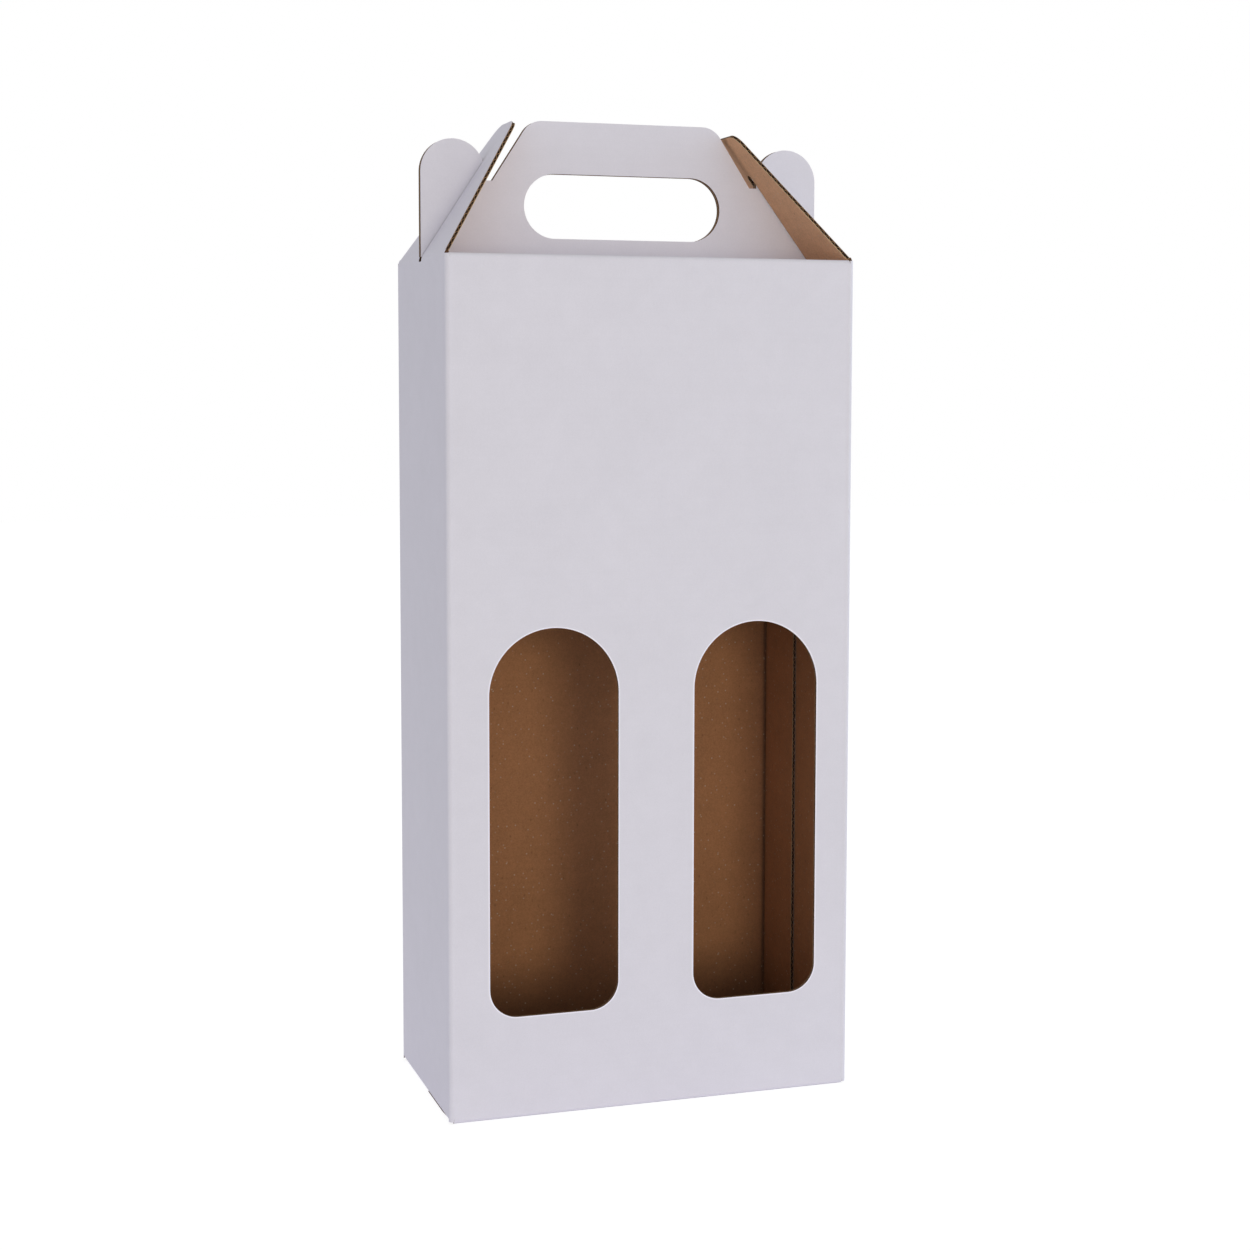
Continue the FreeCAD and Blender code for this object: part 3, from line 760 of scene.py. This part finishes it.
def paperGroup():
    # paper seen close: slow mottle, short fibres across the flutes, fine grain, specks, the flutes' faint
    # washboard, painted shade inside the upright folds and at the foot, and a painted highlight round the
    # windows
    group = bpy.data.node_groups.new("paperSurface", "ShaderNodeTree")
    face = group.interface
    face.new_socket("Blank", in_out="INPUT", socket_type="NodeSocketVector")
    for label in ("Mottle", "Fibre", "Grain", "Washboard", "Painted shade", "Painted highlight", "Dark", "Light"):
        face.new_socket(label, in_out="INPUT", socket_type="NodeSocketFloat")
    for label in ("Tone", "Height", "Dark flecks", "Light flecks"):
        face.new_socket(label, in_out="OUTPUT", socket_type="NodeSocketFloat")
    links = group.links
    given = group.nodes.new("NodeGroupInput")
    out = group.nodes.new("NodeGroupOutput")
    strength = given.outputs

    def sums(operation, first, second=0.0):
        return mathNode(group, operation, first, second)

    def noise(scale, detail, stretch=(1, 1, 1)):
        mapping = newNode(group, "ShaderNodeMapping")
        mapping.inputs["Scale"].default_value = stretch
        links.new(given.outputs["Blank"], mapping.inputs["Vector"])
        made = newNode(group, "ShaderNodeTexNoise")
        made.inputs["Scale"].default_value = scale
        made.inputs["Detail"].default_value = detail
        links.new(mapping.outputs[0], made.inputs["Vector"])
        return sums("SUBTRACT", made.outputs["Fac"], 0.5)

    def specks(scale, size, share, turn, stretch=(1, 1, 1)):
        # small separate specks, each as strong as its cell's own chance
        mapping = newNode(group, "ShaderNodeMapping")
        mapping.inputs["Scale"].default_value = stretch
        mapping.inputs["Rotation"].default_value = (0, 0, turn)
        links.new(given.outputs["Blank"], mapping.inputs["Vector"])
        cells = newNode(group, "ShaderNodeTexVoronoi", voronoi_dimensions="2D")
        cells.inputs["Scale"].default_value = scale
        links.new(mapping.outputs[0], cells.inputs["Vector"])
        near = newNode(group, "ShaderNodeMapRange")
        near.inputs["From Min"].default_value = size
        near.inputs["From Max"].default_value = size / 2
        links.new(cells.outputs["Distance"], near.inputs["Value"])
        chance = newNode(group, "ShaderNodeSeparateColor")
        links.new(cells.outputs["Color"], chance.inputs[0])
        chosen = newNode(group, "ShaderNodeMapRange")
        chosen.inputs["From Min"].default_value = 1 - share
        links.new(chance.outputs[0], chosen.inputs["Value"])
        return sums("MULTIPLY", near.outputs["Result"], chosen.outputs["Result"])

    slow, cloud, fibre, grain = (noise(*paper[label]) for label in ("slow", "cloud", "fibre", "grain"))
    tone = sums("MULTIPLY", sums("ADD", slow, cloud), strength["Mottle"])
    tone = sums("ADD", tone, sums("MULTIPLY", fibre, strength["Fibre"]))
    tone = sums("ADD", tone, sums("MULTIPLY", grain, strength["Grain"]))
    apart = newNode(group, "ShaderNodeSeparateXYZ")
    links.new(given.outputs["Blank"], apart.inputs[0])
    wave = sums("SINE", sums("MULTIPLY", apart.outputs["Y"], 2 * math.pi * 1000 / flutes["pitch"]))
    height = sums("MULTIPLY", wave, strength["Washboard"])
    height = sums("ADD", height, sums("MULTIPLY", fibre, paper["fibreHeight"]))
    height = sums("ADD", height, sums("MULTIPLY", grain, paper["grainHeight"]))
    # painted shade: darker inside the upright folds and towards the foot
    fold = newNode(group, "ShaderNodeAttribute", attribute_name="paintedShade")
    shade = sums("SUBTRACT", 1, sums("MULTIPLY", fold.outputs["Fac"], strength["Painted shade"]))
    # painted highlight: lighter round the windows
    paintedHighlight = newNode(group, "ShaderNodeAttribute", attribute_name="rim")
    shade = sums("ADD", shade, sums("MULTIPLY", paintedHighlight.outputs["Fac"], strength["Painted highlight"]))
    dark, light = specks(*paper["dark"]), specks(*paper["light"])
    links.new(sums("MULTIPLY", sums("ADD", tone, 1), shade), out.inputs["Tone"])
    links.new(height, out.inputs["Height"])
    links.new(sums("MULTIPLY", dark, strength["Dark"]), out.inputs["Dark flecks"])
    links.new(sums("MULTIPLY", light, strength["Light"]), out.inputs["Light flecks"])
    return group


def paperMaterial(group, name, colour, fleckColours, values, roughness, bump):
    material = bpy.data.materials.new(name)
    material.use_nodes = True
    tree = material.node_tree
    links = tree.links
    shader = tree.nodes["Principled BSDF"]
    shader.inputs["Specular IOR Level"].default_value = paper["specular"]
    blank = newNode(tree, "ShaderNodeAttribute", attribute_name="blank")
    surface = newNode(tree, "ShaderNodeGroup", node_tree=group)
    links.new(blank.outputs["Vector"], surface.inputs["Blank"])
    for label, value in values.items():
        surface.inputs[label].default_value = value
    base = newNode(tree, "ShaderNodeVectorMath", operation="SCALE")
    base.inputs[0].default_value = colour
    links.new(surface.outputs["Tone"], base.inputs["Scale"])
    last = base.outputs[0]
    for label, fleck in zip(("Dark flecks", "Light flecks"), fleckColours):
        mix = newNode(tree, "ShaderNodeMix", data_type="RGBA")
        links.new(surface.outputs[label], mix.inputs["Factor"])
        links.new(last, mix.inputs["A"])
        mix.inputs["B"].default_value = (*fleck, 1)
        last = mix.outputs["Result"]
    links.new(last, shader.inputs["Base Color"])
    rough = newNode(tree, "ShaderNodeMapRange")
    rough.inputs["From Min"].default_value, rough.inputs["From Max"].default_value = paper["toneSpan"]
    rough.inputs["To Min"].default_value = roughness - paper["roughSpread"]
    rough.inputs["To Max"].default_value = roughness + paper["roughSpread"]
    links.new(surface.outputs["Tone"], rough.inputs["Value"])
    links.new(rough.outputs["Result"], shader.inputs["Roughness"])
    raised = newNode(tree, "ShaderNodeBump")
    raised.inputs["Strength"].default_value = bump
    raised.inputs["Distance"].default_value = paper["bumpDepth"]
    links.new(surface.outputs["Height"], raised.inputs["Height"])
    links.new(raised.outputs["Normal"], shader.inputs["Normal"])
    return material


def makeMaterials():
    group = paperGroup()
    plain = {"Washboard": 0, "Painted shade": 0, "Painted highlight": 0}
    # the kraft takes the painted shade in its folds and at its foot, the white liner the painted highlight
    # round the windows
    white = {**plain, "Mottle": 0.055, "Fibre": 0.03, "Grain": 0.07, "Washboard": 0.35, "Painted highlight": 0.4,
             "Dark": 0.04, "Light": 0.1}
    brown = {**plain, "Mottle": 0.2, "Fibre": 0.2, "Grain": 0.5, "Washboard": 0.5, "Painted shade": 0.6,
             "Dark": 0.35, "Light": 0.9}
    raw = {**plain, "Mottle": 0.3, "Fibre": 0.4, "Grain": 0.3, "Dark": 0.2, "Light": 0.4}
    kraftFlecks = ((0.07, 0.04, 0.02), (0.55, 0.42, 0.30))
    whiteFlecks = ((0.45, 0.42, 0.42), (0.8, 0.8, 0.84))
    # name, colour, flecks, strengths, roughness and bump
    papers = {
        "white": ("whiteLiner", (0.70, 0.68, 0.74), whiteFlecks, white, 0.62, 0.35),
        "kraft": ("kraftLiner", (0.41, 0.19, 0.085), kraftFlecks, brown, 0.8, 0.6),
        # a paler copy of the kraft liner for the flaps: painted light standing in for the light on their
        # inner faces
        "litFlapKraft": ("flapKraftLiner", (0.62, 0.355, 0.20), kraftFlecks, brown, 0.8, 0.6),
        # near black for the flutes' hollows and the liners' hidden sides: painted shade for the shade inside
        # the flutes
        "paintedHollowShade": ("fluteHollowPaintedShade", (0.10, 0.052, 0.028), kraftFlecks, raw, 0.9, 0.5),
        "fluteCut": ("cutFlute", (0.44, 0.25, 0.12), kraftFlecks, raw, 0.9, 0.5),
        "kraftCut": ("cutKraft", (0.50, 0.36, 0.22), kraftFlecks, raw, 0.9, 0.5),
        "whiteCut": ("cutWhite", (0.34, 0.25, 0.19), whiteFlecks, raw, 0.9, 0.5),
    }
    return {key: paperMaterial(group, *values) for key, values in papers.items()}


def makeBoard(name, loops, lines, fold, kraft, materials, tree, sockets):
    # the three papers of one sheet of board
    places, faces = triangulate(loops, lines)
    thick, liner = board["thickness"], board["liner"]
    outer = makeLiner(name + "WhiteLiner", places, faces, 0, -liner, fold,
                      (materials["white"], materials["paintedHollowShade"], materials["whiteCut"]))
    inner = makeLiner(name + "KraftLiner", places, faces, liner - thick, -thick, fold,
                      (materials["paintedHollowShade"], materials[kraft], materials["kraftCut"]))
    waved = makeFlutes(name + "Flutes", loops, fold, tree, sockets, materials)
    print(name, "liner triangles", len(outer.data.polygons), "flute faces", len(waved.data.polygons))
    return [outer, inner, waved]


flaps = {
    "length": 71,
    "inset": 2.6,
    "taper": 24.5,
    "corner": 9,
    "leans": {"left": 56.6, "right": 53},
    "slitHalf": 2.2,
    "slitEnd": 50.9,
}


def flapOutline():
    half = box["halfDepth"] - flaps["inset"]
    taper = math.radians(flaps["taper"])
    end = half - flaps["length"] * math.tan(taper)
    corner = flaps["corner"]
    reach = box["bandReach"]
    cornerU = end - corner * math.tan((math.pi / 2 - taper) / 2)
    baseHalf = half - reach * math.tan(taper)
    arc = arcPoints((cornerU, flaps["length"] - corner), corner, flaps["taper"], 90, arcSteps["flap"])
    slit, slitEnd = flaps["slitHalf"], flaps["slitEnd"]
    return [
        (slit, reach),
        (baseHalf, reach),
        *arc,
        *[(-x, y) for x, y in reversed(arc)],
        (-baseHalf, reach),
        (-slit, reach),
        *arcPoints((0, slitEnd - slit), slit, 180, 0, arcSteps["slit"]),
    ]


def flapFold(way, lean):
    # carries a flap's flat blank to its leaning place on the left (way 1) or the right (way -1)
    across = np.array([0, -way, 0])
    up = np.array([way * math.cos(lean), 0, math.sin(lean)])
    out = np.cross(across, up)
    root = np.array([-way * box["halfWidth"], 0, box["wallHeight"]])

    def place(flat):
        return root + flat @ np.array([across, up, out])

    return place


def makeFoldBand(name, way, lean, start, end, materials):
    # the soft strip of board that bends where a flap folds over its wall
    reach, thick = box["bandReach"], board["thickness"]
    steps = box["bandSteps"]
    turn = math.pi / 2 - lean
    radius = reach / math.tan(turn / 2)
    outline, inner = [], []
    for step in range(steps + 1):
        angle = turn * step / steps
        rise = radius * math.sin(angle) - reach
        inset = radius * (1 - math.cos(angle))
        press = thick * (1 - box["bandPress"] * math.sin(math.pi * step / steps))
        outline.append((inset, rise))
        inner.append((inset + press * math.cos(angle), rise - press * math.sin(angle)))
    section = outline + inner[::-1]
    count = len(section)
    points, flat = [], []
    for along in (start, end):
        for index, (inset, rise) in enumerate(section):
            points.append((-way * (box["halfWidth"] - inset), along, box["wallHeight"] + rise))
            flat.append((along, rise, -thick * (index > steps)))
    quads = []
    for i in range(count):
        j = (i + 1) % count
        quads.append((i, j, j + count, i + count))
    faces = quads + [tuple(range(count))[::-1], tuple(range(count, 2 * count))]
    if way > 0:
        faces = [face[::-1] for face in faces]
    mesh = bpy.data.meshes.new(name)
    mesh.from_pydata([tuple(np.array(p) / 1000) for p in points], [], faces)
    for key in ("white", "litFlapKraft", "fluteCut", "paintedHollowShade"):
        mesh.materials.append(materials[key])
    outside, inside, rim, cap = range(4)
    slots = [outside] * steps + [rim] + [inside] * steps + [rim, cap, cap]
    mesh.polygons.foreach_set("material_index", np.array(slots, np.int32))
    return finishMesh(name, mesh, np.array(flat))


def makeCarton(materials, tree, sockets):
    loops = [cartonOutline()]
    loops += [windowOutline(middle) for middle in windowMiddles()]
    loops += [handHoleOutline(centre) for centre in (0, uBack)]
    pieces = makeBoard("carton", loops, cartonCreases(), foldCarton, "kraft", materials, tree, sockets)
    for piece in pieces:
        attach(piece, "carton")
        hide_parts("carton")


def makeFlap(side, way, materials, tree, sockets):
    lean = math.radians(flaps["leans"][side])
    fold = flapFold(way, lean)
    pieces = makeBoard(side + "Flap", [flapOutline()], [], fold, "litFlapKraft", materials, tree, sockets)
    for piece in pieces:
        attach(piece, side + "_flap")
        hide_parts(side + "_side_flap")
    half = foldEnd["front"]
    for label, start, end in (("Front", -half, -flaps["slitHalf"]), ("Back", flaps["slitHalf"], half)):
        band = makeFoldBand(side + "Fold" + label, way, lean, start, end, materials)
        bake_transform(band)


def makeFloor():
    # white to the camera, throws light up near the carton, and is open below it to light its bottom too
    floor = {"size": 8.0, "white": 0.92, "lift": 0.84, "shade": 0.3, "inset": 2, "below": 0.0002,
             "bounce": (0.155, 0.15, 0.2), "bounceNear": 0.1, "bounceFar": 0.6}
    half = floor["size"] / 2
    mesh = bpy.data.meshes.new("floor")
    corners = [(-half, -half), (half, -half), (half, half), (-half, half)]
    mesh.from_pydata([(x, y, -floor["below"]) for x, y in corners], [], [(0, 1, 2, 3)])
    material = bpy.data.materials.new("paleFloor")
    material.use_nodes = True
    tree = material.node_tree
    links = tree.links
    tree.nodes.remove(tree.nodes["Principled BSDF"])
    rays = newNode(tree, "ShaderNodeLightPath")
    seen = mathNode(tree, "MAXIMUM", rays.outputs["Is Camera Ray"], rays.outputs["Is Glossy Ray"])
    spot = newNode(tree, "ShaderNodeTexCoord")
    apart = newNode(tree, "ShaderNodeSeparateXYZ")
    links.new(spot.outputs["Object"], apart.inputs[0])
    clear = []
    for axis, reach in (("X", box["halfWidth"]), ("Y", box["halfDepth"])):
        away = mathNode(tree, "ABSOLUTE", apart.outputs[axis])
        clear.append(mathNode(tree, "GREATER_THAN", away, (reach - floor["inset"]) / 1000))
    outside = mathNode(tree, "MAXIMUM", *clear)
    plain = newNode(tree, "ShaderNodeBsdfDiffuse")
    plain.inputs["Color"].default_value = (floor["white"],) * 3 + (1,)
    distance = newNode(tree, "ShaderNodeVectorMath", operation="LENGTH")
    links.new(spot.outputs["Object"], distance.inputs[0])
    bounce = newNode(tree, "ShaderNodeMapRange")
    bounce.inputs["From Min"].default_value = floor["bounceFar"]
    bounce.inputs["From Max"].default_value = floor["bounceNear"]
    links.new(distance.outputs["Value"], bounce.inputs["Value"])
    thrown = newNode(tree, "ShaderNodeEmission")
    thrown.inputs["Color"].default_value = (*floor["bounce"], 1)
    links.new(bounce.outputs["Result"], thrown.inputs["Strength"])
    ground = newNode(tree, "ShaderNodeAddShader")
    links.new(plain.outputs[0], ground.inputs[0])
    links.new(thrown.outputs[0], ground.inputs[1])
    glow = newNode(tree, "ShaderNodeEmission")
    links.new(mathNode(tree, "MULTIPLY", outside, floor["lift"]), glow.inputs["Strength"])
    shown = newNode(tree, "ShaderNodeBsdfDiffuse")
    shown.inputs["Color"].default_value = (floor["shade"],) * 3 + (1,)
    both = newNode(tree, "ShaderNodeAddShader")
    links.new(glow.outputs[0], both.inputs[0])
    links.new(shown.outputs[0], both.inputs[1])
    mix = newNode(tree, "ShaderNodeMixShader")
    links.new(seen, mix.inputs["Fac"])
    links.new(ground.outputs[0], mix.inputs[1])
    links.new(both.outputs[0], mix.inputs[2])
    facing = newNode(tree, "ShaderNodeNewGeometry")
    solid = mathNode(tree, "MAXIMUM", outside, rays.outputs["Is Camera Ray"])
    gone = mathNode(tree, "MAXIMUM", mathNode(tree, "SUBTRACT", 1, solid), facing.outputs["Backfacing"])
    nothing = newNode(tree, "ShaderNodeBsdfTransparent")
    sided = newNode(tree, "ShaderNodeMixShader")
    links.new(gone, sided.inputs["Fac"])
    links.new(mix.outputs[0], sided.inputs[1])
    links.new(nothing.outputs[0], sided.inputs[2])
    links.new(sided.outputs[0], tree.nodes["Material Output"].inputs["Surface"])
    mesh.materials.append(material)
    plane = bpy.data.objects.new("floor", mesh)
    bpy.context.scene.collection.objects.link(plane)


def makeWorld():
    # a plain soft room: cool and bright near the horizon, dimmer and warmer overhead, white to the camera
    room = {"low": (0.69, 0.68, 0.81), "high": (0.59, 0.60, 0.58), "turn": 0.7}
    world = bpy.data.worlds.new("studio")
    bpy.context.scene.world = world
    world.use_nodes = True
    tree = world.node_tree
    links = tree.links
    rays = newNode(tree, "ShaderNodeLightPath")
    seen = mathNode(tree, "MAXIMUM", rays.outputs["Is Camera Ray"], rays.outputs["Is Glossy Ray"])
    way = newNode(tree, "ShaderNodeTexCoord")
    apart = newNode(tree, "ShaderNodeSeparateXYZ")
    links.new(way.outputs["Generated"], apart.inputs[0])
    height = newNode(tree, "ShaderNodeMapRange")
    height.inputs["From Max"].default_value = room["turn"]
    links.new(apart.outputs["Z"], height.inputs["Value"])
    sky = newNode(tree, "ShaderNodeMix", data_type="RGBA")
    sky.inputs["A"].default_value = (*room["low"], 1)
    sky.inputs["B"].default_value = (*room["high"], 1)
    links.new(height.outputs["Result"], sky.inputs["Factor"])
    shown = newNode(tree, "ShaderNodeMix", data_type="RGBA")
    shown.inputs["B"].default_value = (1, 1, 1, 1)
    links.new(sky.outputs["Result"], shown.inputs["A"])
    links.new(seen, shown.inputs["Factor"])
    light = tree.nodes["Background"]
    links.new(shown.outputs["Result"], light.inputs["Color"])


def makeLamp(name, target, place, size, power, colour):
    lamp = bpy.data.lights.new(name, "AREA")
    lamp.shape = "RECTANGLE"
    lamp.size, lamp.size_y = size
    lamp.energy = power
    lamp.color = colour
    holder = bpy.data.objects.new(name, lamp)
    holder.location = place
    holder.rotation_mode = "QUATERNION"
    holder.rotation_quaternion = (Vector(target) - Vector(place)).to_track_quat("-Z", "Y")
    bpy.context.scene.collection.objects.link(holder)


def makeLamps():
    middle = (0, 0, 0.22)
    makeLamp("softKey", middle, place=(0, -2.1, 0.25), size=(0.5, 0.9), power=12, colour=(1, 0.94, 0.77))
    makeLamp("rightFill", middle, place=(1.8, -0.2, 0.5), size=(1.0, 1.0), power=7.6, colour=(0.66, 0.86, 1))


def makeCamera():
    shot = {
        "place": (-0.298, -0.9239, 0.3175),
        "azimuth": 17.973,
        "pitch": 4.846,
        "roll": 0.094,
        "lensPixels": 2155,
        "framePixels": 1250,
        "sensor": 36,
        "shiftY": -0.05,
        "clip": (0.05, 30),
    }
    camera = bpy.data.cameras.new("photoView")
    camera.sensor_width = shot["sensor"]
    camera.lens = shot["lensPixels"] * camera.sensor_width / shot["framePixels"]
    camera.shift_y = shot["shiftY"]
    camera.clip_start, camera.clip_end = shot["clip"]
    holder = bpy.data.objects.new("photoView", camera)
    holder.location = shot["place"]
    azimuth, pitch = math.radians(shot["azimuth"]), math.radians(shot["pitch"])
    across = math.cos(pitch)
    ahead = Vector((math.sin(azimuth) * across, math.cos(azimuth) * across, -math.sin(pitch)))
    holder.rotation_mode = "QUATERNION"
    aim = ahead.to_track_quat("-Z", "Y")
    holder.rotation_quaternion = aim @ Euler((0, 0, math.radians(shot["roll"]))).to_quaternion()
    bpy.context.scene.collection.objects.link(holder)
    bpy.context.scene.camera = holder


makeCamera()
makeFloor()
makeWorld()
makeLamps()
print("studio ready")
materials = makeMaterials()
tree, sockets = fluteTree(materials["paintedHollowShade"])
print("papers and waved edge ready")
makeCarton(materials, tree, sockets)
makeFlap("left", 1, materials, tree, sockets)
makeFlap("right", -1, materials, tree, sockets)
bpy.context.scene.view_settings.view_transform = "Standard"
